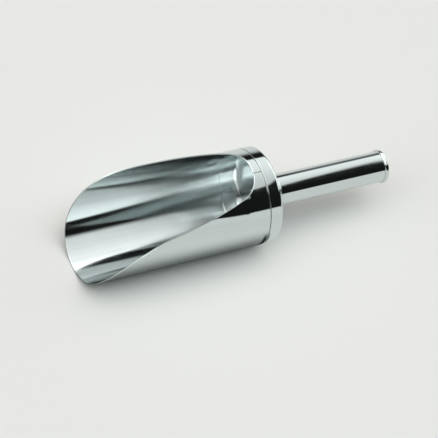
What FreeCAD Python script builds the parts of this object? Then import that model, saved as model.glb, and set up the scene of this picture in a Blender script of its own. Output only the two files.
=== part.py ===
import FreeCAD, Part
import math
import os
import re

import Sketcher

# Ice scoop: a round steel body with a slanted mouth, a cap closing its rear end and a tube
# handle screwed to the cap. Every piece is drawn about the scoop's own axis: X = 0 is the
# rear end of the body, +X runs to the handle and +Z is up. Lengths are in mm.

SIZES = {
    "body_radius": (35.0, "outer radius of the round body and of the cap"),
    "sheet_thick": (1.0, "thickness of the body sheet"),
    "bowl_length": (129.4, "rear end of the body to the tip of the lip"),
    "round_length": (10.5, "rear length over which the body stays truly round"),
    "strap_width": (6.0, "closed strap left across the top at the rear end"),
    "keel_angle": (55.7, "each side of the bottom, arc that keeps the body radius"),
    "lip_side_radius": (49.2, "radius the side walls have opened out to at the lip"),
    "wall_end_angle": (158.0, "from the bottom, where the uncut side walls end, clear above the rim"),
    "mouth_back_radius": (20.2, "hollow curve of the rim below the strap"),
    "mouth_front_radius": (64.2, "full curve of the rim running down to the lip"),
    "rim_drop_back": (3.9, "straight rim below the body's top, carried on to the rear end"),
    "rim_drop_front": (24.6, "straight rim below the body's top, carried on over the lip"),
    "cut_margin": (10.0, "length by which a cutting outline passes the metal"),
    "edge_break": (0.2, "rounding of the two edges facing each other at the joint"),
    "seam_angle": (10.0, "long seam of the rolled sheet, from the top to the -Y side"),
    "seam_width": (0.6, "width of the weld in the long seam"),
    "seam_recess": (0.1, "depth of the ground weld below the outer surface"),
    "joint_gap": (0.45, "gap between the body and the cap, filled by the seal"),
    "seal_recess": (0.15, "depth of the seal below the outer surface"),
    "fit_clearance": (0.05, "radial clearance of every spigot, insert and ring"),
    "cap_length": (10.2, "rear end of the body to the rear face of the cap"),
    "cap_wall": (1.2, "thickness of the end wall of the cap"),
    "cap_edge_radius": (2.2, "outer rounding of the cap's rear edge"),
    "cap_corner_radius": (5.0, "inner rounding between the side and the end wall"),
    "spigot_length": (5.2, "length of the cap that enters the body"),
    "spigot_wall": (0.8, "thickness of the spigot of the cap"),
    "gasket_thick": (0.5, "thickness of the gasket under the collar"),
    "gasket_inset": (0.4, "edge of the gasket inside the edge of the collar"),
    "collar_radius": (12.4, "outer radius of the handle's collar"),
    "collar_length": (10.9, "length of the collar outside the tube"),
    "collar_front_radius": (0.3, "rounding of the collar's front edge"),
    "collar_rear_radius": (1.2, "rounding of the collar's rear edge"),
    "tube_radius": (11.5, "outer radius of the handle tube"),
    "tube_wall": (1.0, "wall of the handle tube"),
    "tube_length": (85.7, "length of the handle tube"),
    "insert_length": (12.0, "length of the collar and of the plug inside the tube"),
    "insert_wall": (3.4, "wall of the two hollow inserts"),
    "plug_radius": (12.5, "outer radius of the bead at the handle's end"),
    "plug_flange": (3.2, "thickness of the bead at the handle's end"),
    "plug_edge_radius": (1.2, "rounding of the bead's two edges"),
    "ring_section": (0.85, "radius of the section of the two sealing rings"),
    "ring_play": (0.2, "extra half width of the ring grooves"),
    "ring_setback": (5.0, "middle of each ring from the end of the tube"),
    "screw_radius": (3.0, "radius of the screw's shank"),
    "screw_length": (16.0, "length of the shank under the head"),
    "screw_tip": (0.6, "chamfer of the shank's end"),
    "head_radius": (5.25, "radius of the button head"),
    "head_height": (3.3, "height of the button head"),
    "head_dome": (2.4, "rounding of the button head"),
    "socket_width": (4.0, "hexagon socket across its flats"),
    "socket_depth": (2.0, "depth of the hexagon socket"),
    "hole_play": (0.3, "radial play of the screw in the cap's wall and the gasket"),
    "washer_play": (0.2, "radial play of the screw in its washers"),
    "washer_radius": (9.0, "outer radius of the flat and the sealing washer"),
    "flat_washer_thick": (1.6, "thickness of the flat washer"),
    "seal_washer_thick": (1.0, "thickness of the sealing washer"),
    "lock_washer_radius": (6.1, "outer radius of the split lock washer"),
    "lock_washer_thick": (1.6, "thickness of the split lock washer"),
    "lock_washer_split": (1.0, "width of the gap in the split lock washer"),
}

# Stations along the axis, from the bowl to the end of the handle.
WALL_FRONT = "(cap_length - cap_wall)"
SEAL_WASHER_FRONT = f"({WALL_FRONT} - seal_washer_thick)"
FLAT_WASHER_FRONT = f"({SEAL_WASHER_FRONT} - flat_washer_thick)"
HEAD_SEAT = f"({FLAT_WASHER_FRONT} - lock_washer_thick)"
HEAD_FRONT = f"({HEAD_SEAT} - head_height)"
SHANK_END = f"({HEAD_SEAT} + screw_length)"
COLLAR_FRONT = "(cap_length + gasket_thick)"
TUBE_FRONT = f"({COLLAR_FRONT} + collar_length)"
TUBE_REAR = f"({TUBE_FRONT} + tube_length)"
HANDLE_END = f"({TUBE_REAR} + plug_flange)"
FRONT_RING = f"({TUBE_FRONT} + ring_setback)"
REAR_RING = f"({TUBE_REAR} - ring_setback)"

# Radii shared by pieces that fit each other, and the two heights of the rim.
BODY_BORE = "(body_radius - sheet_thick)"
SPIGOT = f"({BODY_BORE} - fit_clearance)"
RIM_BACK = "(body_radius - rim_drop_back)"
RIM_FRONT = "(body_radius - rim_drop_front)"
TUBE_BORE = "(tube_radius - tube_wall)"
INSERT = f"({TUBE_BORE} - fit_clearance)"
INSERT_BORE = f"({INSERT} - insert_wall)"
RING_MIDDLE = f"({INSERT} - ring_section)"
GROOVE_FLOOR = f"({RING_MIDDLE} - ring_section - fit_clearance)"
GROOVE_HALF = "(ring_section + fit_clearance + ring_play)"
WALL_HOLE = "(screw_radius + hole_play)"
WASHER_HOLE = "(screw_radius + washer_play)"

# The drawn axis stands one body radius above the rest plane; X = 0 is mid-length.
SHIFT_X = f"(bowl_length - {HANDLE_END}) / 2"
SHIFT_Z = "body_radius"

TOLERANCE = 1e-4
ORIGIN = (-1, 1)
H_AXIS = -1
V_AXIS = -2
START, END, CENTRE = 1, 2, 3
SIDES = (-1, 1)
RIGHT_ANGLE = math.pi / 2

doc = FreeCAD.newDocument("IceScoop")
sheet = doc.addObject("Spreadsheet::Sheet", "Dimensions")
for row, (alias, (value, meaning)) in enumerate(SIZES.items(), 1):
    sheet.set(f"A{row}", alias)
    sheet.set(f"B{row}", str(value))
    sheet.set(f"C{row}", meaning)
    sheet.setAlias(f"B{row}", alias)
doc.recompute()


def bound(text):
    """The expression with every size named as the sheet's own cell."""
    return re.sub(
        r"[a-z][a-z_]+",
        lambda word: f"Dimensions.{word.group()}" if word.group() in SIZES else word.group(),
        text,
    )


def worth(text):
    """The present worth of an expression in mm or degrees."""
    return float(sheet.evalExpression(bound(text)))


def new_body(label):
    """An empty body in the shared place of all pieces."""
    body = doc.addObject("PartDesign::Body", label)
    body.Label = label
    body.setExpression("Placement.Base.x", bound(SHIFT_X))
    body.setExpression("Placement.Base.z", bound(SHIFT_Z))
    return body


def new_sketch(body, name, role):
    """An empty sketch on one of the body's own planes."""
    sketch = body.newObject("Sketcher::SketchObject", name)
    plane = [item for item in body.Origin.OriginFeatures if item.Role == role][0]
    sketch.AttachmentSupport = [(plane, "")]
    sketch.MapMode = "FlatFace"
    return sketch


def limit(sketch, kind, references, text):
    """A measured constraint that follows an expression."""
    index = sketch.addConstraint(Sketcher.Constraint(kind, *references, worth(text)))
    sketch.setExpression(f"Constraints[{index}]", bound(text))


def pin(sketch, point, across, up):
    """Hold a point at two expressions from the sketch's origin; "0" puts it on an axis."""
    for kind, text, axis in (("DistanceX", across, V_AXIS), ("DistanceY", up, H_AXIS)):
        if text == "0":
            sketch.addConstraint(Sketcher.Constraint("PointOnObject", *point, axis))
        else:
            limit(sketch, kind, (*ORIGIN, *point), text)


def outline(body, name, role, corners):
    """A closed straight-sided outline through corners given as two expressions each."""
    sketch = new_sketch(body, name, role)
    spots = [FreeCAD.Vector(worth(across), worth(up), 0) for across, up in corners]
    count = len(corners)
    for index in range(count):
        sketch.addGeometry(Part.LineSegment(spots[index], spots[(index + 1) % count]), False)
    for index in range(count):
        following = (index + 1) % count
        sketch.addConstraint(Sketcher.Constraint("Coincident", index, END, following, START))
    for index, (across, up) in enumerate(corners):
        pin(sketch, (index, START), across, up)
    return sketch


def turn(body, name, corners):
    """A solid turned about the scoop's axis; corners are (along the axis, radius)."""
    sketch = outline(body, f"{name}_outline", "XZ_Plane", corners)
    turned = body.newObject("PartDesign::Revolution", name)
    turned.Profile = sketch
    turned.ReferenceAxis = (sketch, ["H_Axis"])
    turned.Angle = 360
    doc.recompute()
    return turned


def ring(label, front, rear, inner, outer):
    """A plain ring about the scoop's axis."""
    body = new_body(label)
    turn(body, f"{label}_turn", [(front, inner), (rear, inner), (rear, outer), (front, outer)])
    return body


def round_edges(body, name, size, places):
    """Fillet the round edges that lie at (along the axis, radius)."""
    base = body.Tip
    names = []
    for along, radius in places:
        for number, edge in enumerate(base.Shape.Edges, 1):
            if not isinstance(edge.Curve, Part.Circle):
                continue
            off = abs(edge.Curve.Center.x - worth(along)) + abs(edge.Curve.Radius - worth(radius))
            if off < TOLERANCE:
                names.append(f"Edge{number}")
    if len(names) != len(places):
        raise RuntimeError(f"{name}: {len(names)} edges found, {len(places)} wanted")
    fillet = body.newObject("PartDesign::Fillet", name)
    fillet.Base = (base, names)
    fillet.Radius = worth(size)
    fillet.setExpression("Radius", bound(size))
    doc.recompute()


def cut(body, name, sketch, depth=None, both=False, reverse=False):
    """Pocket a sketch out of the body, right through unless a depth is given."""
    before = body.Tip.Shape.Volume
    pocket = body.newObject("PartDesign::Pocket", name)
    pocket.Profile = sketch
    if depth:
        pocket.Type = "Length"
        pocket.Length = worth(depth)
        pocket.setExpression("Length", bound(depth))
    else:
        pocket.Type = "ThroughAll"
    pocket.Reversed = reverse
    if both:
        pocket.SideType = "Symmetric"
    doc.recompute()
    if pocket.Shape.Volume > before - TOLERANCE:
        raise RuntimeError(f"{name} cuts nothing")


def curve_at(centre, radius, start, end):
    """An arc from one angle to another, counter-clockwise, in radians."""
    middle = FreeCAD.Vector(centre[0], centre[1], 0)
    return Part.ArcOfCircle(Part.Circle(middle, FreeCAD.Vector(0, 0, 1), radius), start, end)


def add_mouth_outline(body, name):
    """The side view of the mouth: back curve, straight slanted rim, front curve, clear sides."""
    sketch = new_sketch(body, name, "XZ_Plane")
    length, margin = worth("bowl_length"), worth("cut_margin")
    back, front = worth("mouth_back_radius"), worth("mouth_front_radius")
    high, low, body_radius = worth(RIM_BACK), worth(RIM_FRONT), worth("body_radius")
    slope = math.atan2(high - low, length)
    forward = FreeCAD.Vector(-math.cos(slope), -math.sin(slope), 0)
    upward = FreeCAD.Vector(-math.sin(slope), math.cos(slope), 0)
    strap_top = FreeCAD.Vector(-worth("strap_width"), body_radius, 0)
    lip = FreeCAD.Vector(-length, -body_radius, 0)

    def touch(offset, target, sign):
        """Where a circle through the target touches the straight rim, and its centre."""
        reach = FreeCAD.Vector(0, high, 0) + upward * offset - target
        along = reach.dot(forward)
        gone = -along + sign * math.sqrt(along**2 - reach.dot(reach) + offset**2)
        contact = FreeCAD.Vector(0, high, 0) + forward * gone
        return contact, contact + upward * offset

    back_touch, back_centre = touch(back, strap_top, 1)
    front_touch, front_centre = touch(-front, lip, -1)
    top, far = 2 * body_radius, -length - 2 * margin
    right = FreeCAD.Vector(back_centre.x + back, back_centre.y, 0)
    left = FreeCAD.Vector(front_centre.x - front, front_centre.y, 0)
    spots = [
        left,
        FreeCAD.Vector(far, left.y, 0),
        FreeCAD.Vector(far, top, 0),
        FreeCAD.Vector(right.x, top, 0),
        right,
    ]
    sketch.addGeometry(curve_at(back_centre, back, -RIGHT_ANGLE + slope, 0.0), False)
    sketch.addGeometry(Part.LineSegment(back_touch, front_touch), False)
    sketch.addGeometry(curve_at(front_centre, front, RIGHT_ANGLE + slope, math.pi), False)
    for first, second in zip(spots, spots[1:]):
        sketch.addGeometry(Part.LineSegment(first, second), False)
    for kind, references in (
        ("Tangent", (1, START, 0, START)),
        ("Tangent", (1, END, 2, START)),
        ("Coincident", (2, END, 3, START)),
        ("Coincident", (3, END, 4, START)),
        ("Coincident", (4, END, 5, START)),
        ("Coincident", (5, END, 6, START)),
        ("Coincident", (6, END, 0, END)),
        ("Horizontal", (0, CENTRE, 0, END)),
        ("Horizontal", (2, CENTRE, 2, END)),
        ("Horizontal", (3,)),
        ("Vertical", (4,)),
        ("Horizontal", (5,)),
        ("Vertical", (6,)),
    ):
        sketch.addConstraint(Sketcher.Constraint(kind, *references))
    limit(sketch, "Radius", (0,), "mouth_back_radius")
    limit(sketch, "Radius", (2,), "mouth_front_radius")
    limit(sketch, "DistanceX", (*ORIGIN, 4, START), "-(bowl_length + 2 * cut_margin)")
    limit(sketch, "DistanceY", (*ORIGIN, 5, START), "2 * body_radius")
    for across, up, curve in (
        ("0", RIM_BACK, 1),
        ("-bowl_length", RIM_FRONT, 1),
        ("-strap_width", "body_radius", 0),
        ("-bowl_length", "-body_radius", 2),
    ):
        spot = sketch.addGeometry(Part.Point(FreeCAD.Vector(worth(across), worth(up), 0)), True)
        pin(sketch, (spot, START), across, up)
        sketch.addConstraint(Sketcher.Constraint("PointOnObject", spot, START, curve))
    return sketch


def add_wall_curves(sketch, radius, side_radius):
    """One face of the wall seen along the axis: a bottom arc with an opened arc each side."""
    keel, end = math.radians(worth("keel_angle")), math.radians(worth("wall_end_angle"))
    round_worth, side_worth = worth(radius), worth(side_radius)
    offset = round_worth - side_worth
    bottom = sketch.addGeometry(
        curve_at((0, 0), round_worth, -RIGHT_ANGLE - keel, -RIGHT_ANGLE + keel), False
    )
    sketch.addConstraint(Sketcher.Constraint("Coincident", bottom, CENTRE, *ORIGIN))
    limit(sketch, "Radius", (bottom,), radius)
    ends = []
    for side, bottom_end in zip(SIDES, (START, END)):
        centre = (side * offset * math.sin(keel), -offset * math.cos(keel))
        angles = (-RIGHT_ANGLE + keel, -RIGHT_ANGLE + end)
        if side < 0:
            angles = (3 * RIGHT_ANGLE - end, 3 * RIGHT_ANGLE - keel)
        wall = sketch.addGeometry(curve_at(centre, side_worth, *angles), False)
        near, far = (START, END) if side > 0 else (END, START)
        sketch.addConstraint(Sketcher.Constraint("Tangent", bottom, bottom_end, wall, near))
        limit(sketch, "DistanceX", (*ORIGIN, bottom, bottom_end), f"{side} * {radius} * sin(keel_angle)")
        limit(sketch, "Radius", (wall,), side_radius)
        reach = f"({radius} - {side_radius}) * sin(keel_angle) + {side_radius} * sin(wall_end_angle)"
        limit(sketch, "DistanceX", (*ORIGIN, wall, far), f"{side} * ({reach})")
        ends.append((wall, far))
    return ends


def add_wall_section(body, name, station, side_radius):
    """The closed section of the open wall at a station in front of the rear end."""
    sketch = new_sketch(body, name, "YZ_Plane")
    sketch.setExpression("AttachmentOffset.Base.z", bound(f"-({station})"))
    outer = add_wall_curves(sketch, "body_radius", side_radius)
    inner = add_wall_curves(sketch, BODY_BORE, f"({side_radius} - sheet_thick)")
    for outer_end, inner_end in zip(outer, inner):
        spots = [
            sketch.getPoint(*outer_end),
            sketch.getPoint(*inner_end),
        ]
        edge = sketch.addGeometry(Part.LineSegment(*spots), False)
        sketch.addConstraint(Sketcher.Constraint("Coincident", edge, START, *outer_end))
        sketch.addConstraint(Sketcher.Constraint("Coincident", edge, END, *inner_end))
    return sketch


def add_seam_strip(body, name, inner, outer):
    """A narrow strip across the sheet, turned from the top to the seam's own angle."""
    half = "seam_width / 2"
    corners = [(f"-{half}", inner), (half, inner), (half, outer), (f"-{half}", outer)]
    sketch = outline(body, name, "YZ_Plane", corners)
    sketch.setExpression("AttachmentOffset.Rotation.Angle", bound("seam_angle"))
    return sketch


def build_shell():
    """Body of the scoop: a round rear end and walls that open out evenly to the lip."""
    body = new_body("scoop_shell")
    corners = [("-round_length", BODY_BORE), ("0", BODY_BORE), ("0", "body_radius")]
    corners.append(("-round_length", "body_radius"))
    turn(body, "round_end", corners)
    round_edges(body, "rear_edge", "edge_break", [("0", "body_radius")])
    reach = "bowl_length + cut_margin"
    grown = f"(lip_side_radius - body_radius) * ({reach} - round_length) / (bowl_length - round_length)"
    near = add_wall_section(body, "wall_near", "round_length", "body_radius")
    far = add_wall_section(body, "wall_far", reach, f"(body_radius + {grown})")
    loft = body.newObject("PartDesign::AdditiveLoft", "open_walls")
    loft.Profile = near
    loft.Sections = [far]
    loft.Ruled = True
    doc.recompute()
    cut(body, "mouth", add_mouth_outline(body, "mouth_outline"), both=True)
    strip = add_seam_strip(body, "seam_slit_outline", f"{BODY_BORE} - sheet_thick", "body_radius + sheet_thick")
    cut(body, "seam_slit", strip, depth="round_length")
    return body


def build_seam_weld():
    """Weld metal that fills the long seam where the sheet was rolled round."""
    body = new_body("seam_weld")
    strip = add_seam_strip(body, "weld_outline", BODY_BORE, "body_radius - seam_recess")
    bead = body.newObject("PartDesign::Pad", "weld_bead")
    bead.Profile = strip
    bead.Length = worth("round_length")
    bead.setExpression("Length", bound("round_length"))
    bead.Reversed = True
    doc.recompute()
    cut(body, "weld_mouth", add_mouth_outline(body, "weld_mouth_outline"), both=True)
    return body


def build_cap():
    """Deep drawn cap: a spigot inside the body, a flush side and a flat end wall."""
    body = new_body("end_cap")
    corners = [
        (WALL_FRONT, WALL_HOLE),
        ("cap_length", WALL_HOLE),
        ("cap_length", "body_radius"),
        ("joint_gap", "body_radius"),
        ("joint_gap", SPIGOT),
        ("-spigot_length", SPIGOT),
        ("-spigot_length", f"{SPIGOT} - spigot_wall"),
        (WALL_FRONT, f"{SPIGOT} - spigot_wall"),
    ]
    turn(body, "cap_turn", corners)
    round_edges(body, "cap_edge", "cap_edge_radius", [("cap_length", "body_radius")])
    round_edges(body, "cap_corner", "cap_corner_radius", [(WALL_FRONT, f"{SPIGOT} - spigot_wall")])
    round_edges(body, "cap_front_edge", "edge_break", [("joint_gap", "body_radius")])
    return body


def insert_groove(middle):
    """The four corners of a ring groove in an insert, from front to rear."""
    front, rear = f"({middle} - {GROOVE_HALF})", f"({middle} + {GROOVE_HALF})"
    return [(front, INSERT), (front, GROOVE_FLOOR), (rear, GROOVE_FLOOR), (rear, INSERT)]


def build_collar():
    """Collar of the handle: threaded for the screw, with a hollow insert for the tube."""
    body = new_body("handle_collar")
    thread = "(screw_radius + fit_clearance)"
    insert_end = f"({TUBE_FRONT} + insert_length)"
    corners = [
        (COLLAR_FRONT, thread),
        (COLLAR_FRONT, "collar_radius"),
        (TUBE_FRONT, "collar_radius"),
        (TUBE_FRONT, INSERT),
        *insert_groove(FRONT_RING),
        (insert_end, INSERT),
        (insert_end, INSERT_BORE),
        (TUBE_FRONT, INSERT_BORE),
        (TUBE_FRONT, thread),
    ]
    turn(body, "collar_turn", corners)
    round_edges(body, "collar_rear", "collar_rear_radius", [(TUBE_FRONT, "collar_radius")])
    round_edges(body, "collar_front", "collar_front_radius", [(COLLAR_FRONT, "collar_radius")])
    return body


def build_plug():
    """Closing plug of the handle: a rounded bead with a hollow insert for the tube."""
    body = new_body("end_plug")
    insert_end = f"({TUBE_REAR} - insert_length)"
    corners = [
        (TUBE_REAR, "0"),
        (HANDLE_END, "0"),
        (HANDLE_END, "plug_radius"),
        (TUBE_REAR, "plug_radius"),
        (TUBE_REAR, INSERT),
        *reversed(insert_groove(REAR_RING)),
        (insert_end, INSERT),
        (insert_end, INSERT_BORE),
        (TUBE_REAR, INSERT_BORE),
    ]
    turn(body, "plug_turn", corners)
    edges = [(TUBE_REAR, "plug_radius"), (HANDLE_END, "plug_radius")]
    round_edges(body, "plug_edges", "plug_edge_radius", edges)
    return body


def build_rings():
    """The two equal sealing rings between the inserts and the tube, as one node."""
    rings = []
    for name, middle in (("front_ring", FRONT_RING), ("rear_ring", REAR_RING)):
        item = doc.addObject("Part::Torus", name)
        item.Radius1 = worth(RING_MIDDLE)
        item.Radius2 = worth("ring_section")
        item.Placement.Rotation = FreeCAD.Rotation(FreeCAD.Vector(0, 1, 0), 90)
        item.setExpression("Radius1", bound(RING_MIDDLE))
        item.setExpression("Radius2", bound("ring_section"))
        item.setExpression("Placement.Base.x", bound(middle))
        rings.append(item)
    pair = doc.addObject("Part::Compound", "tube_o_rings")
    pair.Links = rings
    pair.setExpression("Placement.Base.x", bound(SHIFT_X))
    pair.setExpression("Placement.Base.z", bound(SHIFT_Z))
    doc.recompute()
    return pair


def build_screw():
    """Button head screw that pulls the collar against the cap from inside the bowl."""
    body = new_body("handle_screw")
    corners = [
        (HEAD_FRONT, "0"),
        (HEAD_FRONT, "head_radius"),
        (HEAD_SEAT, "head_radius"),
        (HEAD_SEAT, "screw_radius"),
        (f"({SHANK_END} - screw_tip)", "screw_radius"),
        (SHANK_END, "screw_radius - screw_tip"),
        (SHANK_END, "0"),
    ]
    turn(body, "screw_turn", corners)
    round_edges(body, "head_rounding", "head_dome", [(HEAD_FRONT, "head_radius")])
    flat, point = "socket_width / 2", "socket_width / sqrt(3)"
    hexagon = [
        ("0", point),
        (f"-{flat}", f"{point} / 2"),
        (f"-{flat}", f"-{point} / 2"),
        ("0", f"-{point}"),
        (flat, f"-{point} / 2"),
        (flat, f"{point} / 2"),
    ]
    socket = outline(body, "socket_outline", "YZ_Plane", hexagon)
    socket.setExpression("AttachmentOffset.Base.z", bound(HEAD_FRONT))
    cut(body, "socket", socket, depth="socket_depth", reverse=True)
    return body


def build_lock_washer():
    """Split spring washer under the screw's head."""
    body = ring("lock_washer", HEAD_SEAT, FLAT_WASHER_FRONT, WASHER_HOLE, "lock_washer_radius")
    half = "lock_washer_split / 2"
    corners = [(f"-{half}", "0"), (half, "0"), (half, "washer_radius"), (f"-{half}", "washer_radius")]
    split = outline(body, "split_outline", "YZ_Plane", corners)
    cut(body, "split", split, both=True)
    return body


pieces = [
    build_shell(),
    build_seam_weld(),
    build_cap(),
    ring("joint_seal", "0", "joint_gap", SPIGOT, "body_radius - seal_recess"),
    build_collar(),
    ring("collar_gasket", "cap_length", COLLAR_FRONT, WALL_HOLE, "collar_radius - gasket_inset"),
    ring("handle_tube", TUBE_FRONT, TUBE_REAR, TUBE_BORE, "tube_radius"),
    build_plug(),
    build_rings(),
    build_screw(),
    build_lock_washer(),
    ring("flat_washer", FLAT_WASHER_FRONT, SEAL_WASHER_FRONT, WASHER_HOLE, "washer_radius"),
    ring("sealing_washer", SEAL_WASHER_FRONT, WALL_FRONT, WASHER_HOLE, "washer_radius"),
]
doc.recompute()

for item in doc.Objects:
    if "Invalid" in item.State or "Error" in item.State:
        raise RuntimeError(f"{item.Name} did not build: {item.State}")
    if item.isDerivedFrom("Sketcher::SketchObject") and not item.FullyConstrained:
        raise RuntimeError(f"{item.Name} is not fully constrained")
for piece in pieces:
    if piece.Shape.isNull() or not piece.Shape.isValid():
        raise RuntimeError(f"{piece.Label} has no valid shape")

os.makedirs("parts", exist_ok=True)
for piece in pieces:
    piece.Shape.exportStep(f"parts/{piece.Label}.step")
    box = piece.Shape.optimalBoundingBox()
    print(
        f"{piece.Label}: {len(piece.Shape.Solids)} solid(s), {piece.Shape.Volume:.2f} mm3, "
        f"x {box.XMin:.2f}..{box.XMax:.2f}, y {box.YMin:.2f}..{box.YMax:.2f}, "
        f"z {box.ZMin:.2f}..{box.ZMax:.2f}"
    )
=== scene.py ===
import logging
import math
from dataclasses import dataclass, field
from enum import Enum
from typing import Any, Callable, Mapping, Sequence

import bmesh
import bpy
from mathutils import Matrix, Vector


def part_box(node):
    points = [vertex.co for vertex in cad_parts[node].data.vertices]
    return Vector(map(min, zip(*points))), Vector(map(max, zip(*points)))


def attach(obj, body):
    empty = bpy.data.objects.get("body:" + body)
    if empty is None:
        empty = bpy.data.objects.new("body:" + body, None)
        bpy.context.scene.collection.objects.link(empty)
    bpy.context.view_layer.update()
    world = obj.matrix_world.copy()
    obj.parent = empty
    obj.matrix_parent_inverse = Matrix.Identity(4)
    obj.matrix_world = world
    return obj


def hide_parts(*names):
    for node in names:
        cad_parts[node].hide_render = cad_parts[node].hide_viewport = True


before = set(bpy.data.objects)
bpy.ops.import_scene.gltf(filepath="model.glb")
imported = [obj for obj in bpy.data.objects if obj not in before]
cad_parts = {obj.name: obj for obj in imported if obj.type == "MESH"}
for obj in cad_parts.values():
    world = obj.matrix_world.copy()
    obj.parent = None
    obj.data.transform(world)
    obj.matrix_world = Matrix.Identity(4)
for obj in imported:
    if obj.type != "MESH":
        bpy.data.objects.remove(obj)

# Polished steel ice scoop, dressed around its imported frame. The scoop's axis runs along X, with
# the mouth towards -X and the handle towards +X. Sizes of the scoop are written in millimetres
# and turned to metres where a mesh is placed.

LOG = logging.getLogger("ice_scoop")
MM = 0.001
FULL_TURN = 2 * math.pi
SHARP = 0.0
MERGE_DISTANCE = 2e-7
JOIN_DISTANCE = 20 * MERGE_DISTANCE
ANGLE_SLACK = 1e-9
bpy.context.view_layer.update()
Pair = tuple[float, float]
Profile = tuple[Pair, ...]
Corner = tuple[float, float, float]
Colour = tuple[float, float, float, float]


# ---------------------------------------------------------------- colours and nodes


class Ramp(Enum):
    """How a step runs from one level to the other."""

    SOFT = "SMOOTHSTEP"
    STRAIGHT = "LINEAR"


def linear(hex_colour: str) -> Colour:
    """Turn an sRGB hex colour into linear light.

    Args:
        hex_colour: Six hex digits, such as "D3DBDA".

    Returns:
        Linear red, green, blue and an alpha of one.
    """
    channels = [int(hex_colour[start : start + 2], 16) / 255 for start in (0, 2, 4)]
    lit = [c / 12.92 if c <= 0.04045 else ((c + 0.055) / 1.055) ** 2.4 for c in channels]
    return (lit[0], lit[1], lit[2], 1.0)


def set_inputs(
    tree: bpy.types.NodeTree, node: bpy.types.Node, inputs: Mapping[str | int, Any]
) -> None:
    """Set a node's inputs to values, or link them to other nodes.

    Args:
        tree: Node tree that holds the node.
        node: Node to set.
        inputs: Input name or index, with a value or an output socket to link.
    """
    for name, value in inputs.items():
        if isinstance(value, bpy.types.NodeSocket):
            tree.links.new(value, node.inputs[name])
        else:
            node.inputs[name].default_value = value


def add_node(
    tree: bpy.types.NodeTree,
    kind: str,
    settings: Mapping[str, Any] | None = None,
    inputs: Mapping[str | int, Any] | None = None,
) -> bpy.types.Node:
    """Add one node with its settings and its inputs.

    Args:
        tree: Node tree that takes the node.
        kind: Blender's name of the node type.
        settings: Attribute values of the node.
        inputs: Input name or index, with a value or an output socket to link.

    Returns:
        The new node.
    """
    node = tree.nodes.new(kind)
    for name, value in (settings or {}).items():
        setattr(node, name, value)
    set_inputs(tree, node, inputs or {})
    return node


def add_maths(tree: bpy.types.NodeTree, operation: str, *values: Any) -> bpy.types.NodeSocket:
    """Add one math node.

    Args:
        tree: Node tree that takes the node.
        operation: Blender's name of the operation.
        values: Numbers or output sockets, in the order of the node's inputs.

    Returns:
        The result's socket.
    """
    inputs = dict(enumerate(values))
    return add_node(tree, "ShaderNodeMath", {"operation": operation}, inputs).outputs["Value"]


def add_step(
    tree: bpy.types.NodeTree,
    value: Any,
    low: Any,
    high: Any,
    start: Any = 0.0,
    end: Any = 1.0,
    ramp: Ramp = Ramp.SOFT,
) -> bpy.types.NodeSocket:
    """Add a step from one level to another.

    Args:
        tree: Node tree that takes the node.
        value: Socket that the step follows.
        low: Where the step begins, a number or a socket.
        high: Where the step ends, a number or a socket.
        start: Level below the step.
        end: Level above the step.
        ramp: How the step runs in between.

    Returns:
        The result's socket.
    """
    ends = {"Value": value, "From Min": low, "From Max": high, "To Min": start, "To Max": end}
    settings = {"interpolation_type": ramp.value}
    return add_node(tree, "ShaderNodeMapRange", settings, ends).outputs["Result"]


def add_profile(tree: bpy.types.NodeTree, value: Any, points: Profile) -> bpy.types.NodeSocket:
    """Add a curve of straight stretches through given points, level beyond its ends.

    Args:
        tree: Node tree that takes the node.
        value: Socket that the curve follows.
        points: Places and levels, in rising order of place.

    Returns:
        The result's socket.
    """
    node = add_node(tree, "ShaderNodeFloatCurve", inputs={"Value": value})
    node.mapping.use_clip = False
    node.mapping.extend = "HORIZONTAL"
    curve = node.mapping.curves[0]
    for spot, (place, level) in zip(curve.points, (points[0], points[-1])):
        spot.location = (place, level)
    for place, level in points[1:-1]:
        curve.points.new(place, level)
    for spot in curve.points:
        spot.handle_type = "VECTOR"
    node.mapping.update()
    return node.outputs["Value"]


def add_mix(tree: bpy.types.NodeTree, share: Any, start: Any, end: Any) -> bpy.types.NodeSocket:
    """Add a mix of two numbers, which the Mix node keeps at its inputs 2 and 3.

    Args:
        tree: Node tree that takes the node.
        share: Share of the second number, a number or a socket.
        start: First number, or its socket.
        end: Second number, or its socket.

    Returns:
        The result's socket.
    """
    return add_node(tree, "ShaderNodeMix", inputs={0: share, 2: start, 3: end}).outputs[0]


def add_tint(tree: bpy.types.NodeTree, share: Any, start: Any, end: Any) -> bpy.types.NodeSocket:
    """Add a mix of two colours, which the Mix node keeps at its inputs 6 and 7.

    Args:
        tree: Node tree that takes the node.
        share: Share of the second colour, a number or a socket.
        start: First linear colour, or its socket.
        end: Second linear colour, or its socket.

    Returns:
        The result's socket.
    """
    inputs = {0: share, 6: start, 7: end}
    return add_node(tree, "ShaderNodeMix", {"data_type": "RGBA"}, inputs).outputs[2]


def add_noise(
    tree: bpy.types.NodeTree, place: bpy.types.NodeSocket, grain_mm: float, detail: float
) -> bpy.types.NodeSocket:
    """Add a cloudy pattern.

    Args:
        tree: Node tree that takes the node.
        place: Socket of the pattern's coordinates.
        grain_mm: Size of its largest grains in millimetres.
        detail: How many finer layers lie on them.

    Returns:
        The pattern's socket.
    """
    inputs = {"Vector": place, "Scale": 1 / (grain_mm * MM), "Detail": detail}
    return add_node(tree, "ShaderNodeTexNoise", inputs=inputs).outputs["Fac"]


def add_bump(
    tree: bpy.types.NodeTree, height: bpy.types.NodeSocket, depth_mm: float
) -> bpy.types.NodeSocket:
    """Add the fine relief of a surface.

    Args:
        tree: Node tree that takes the node.
        height: Socket of the relief's pattern.
        depth_mm: Height of the relief in millimetres.

    Returns:
        The normal's socket.
    """
    inputs = {"Distance": depth_mm * MM, "Height": height}
    return add_node(tree, "ShaderNodeBump", inputs=inputs).outputs["Normal"]


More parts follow.
